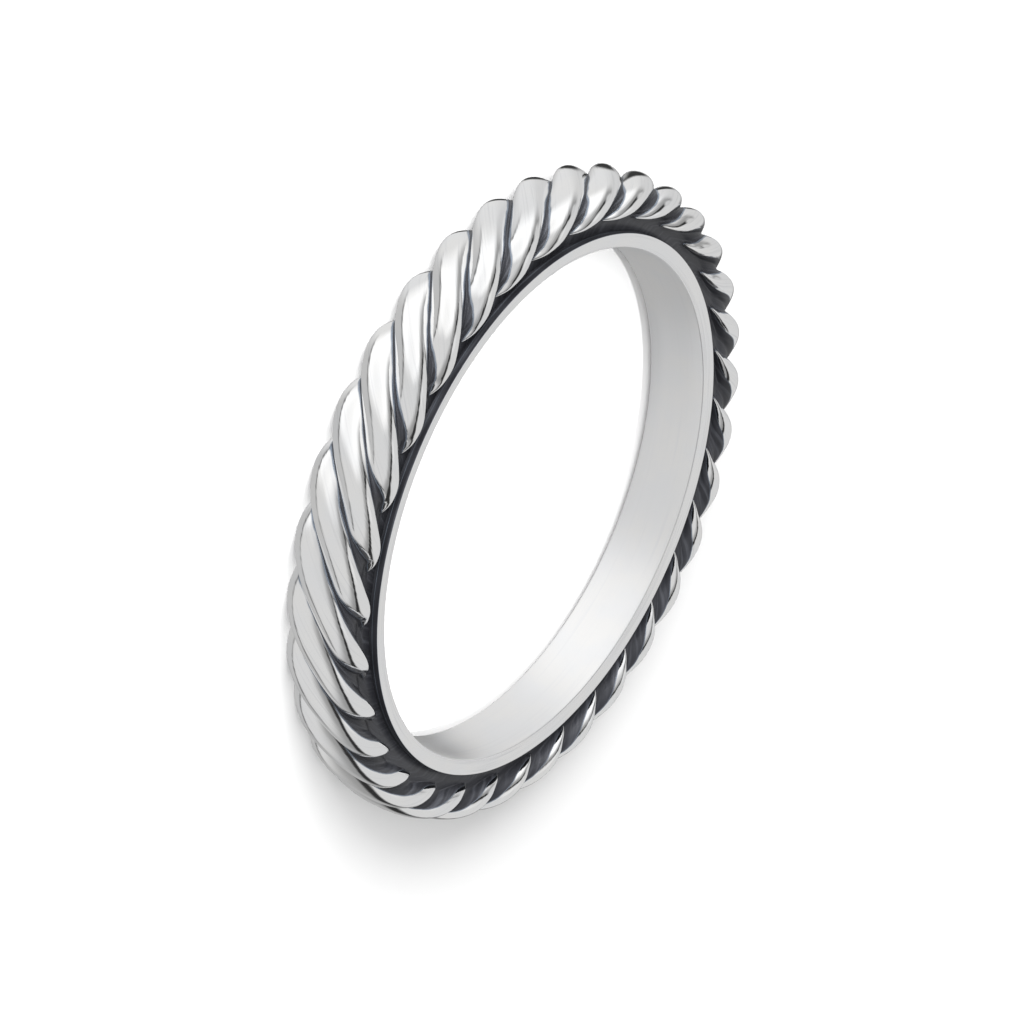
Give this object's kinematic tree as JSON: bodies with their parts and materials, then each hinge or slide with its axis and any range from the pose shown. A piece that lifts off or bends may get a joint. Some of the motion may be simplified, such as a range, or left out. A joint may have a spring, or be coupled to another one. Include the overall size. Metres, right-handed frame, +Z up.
{
  "type": "rope twist ring",
  "caption": "Finger ring with a rounded rope of slanted, tapering strands over a plain inner band, blackened between the strands.",
  "frame": {"origin": "on the axis of the finger hole, at the lowest plane of the ring as it lies on its side", "axes": "+Z up along the axis of the finger hole; the ring is the same all round, and -Y is the side towards the camera"},
  "size_m": [0.022, 0.022, 0.0028],
  "materials": {
    "silver": "polished silver, blackened in the recesses"
  },
  "bodies": {
    "root": {"twist_ring": "silver"}
  },
  "joints": []
}
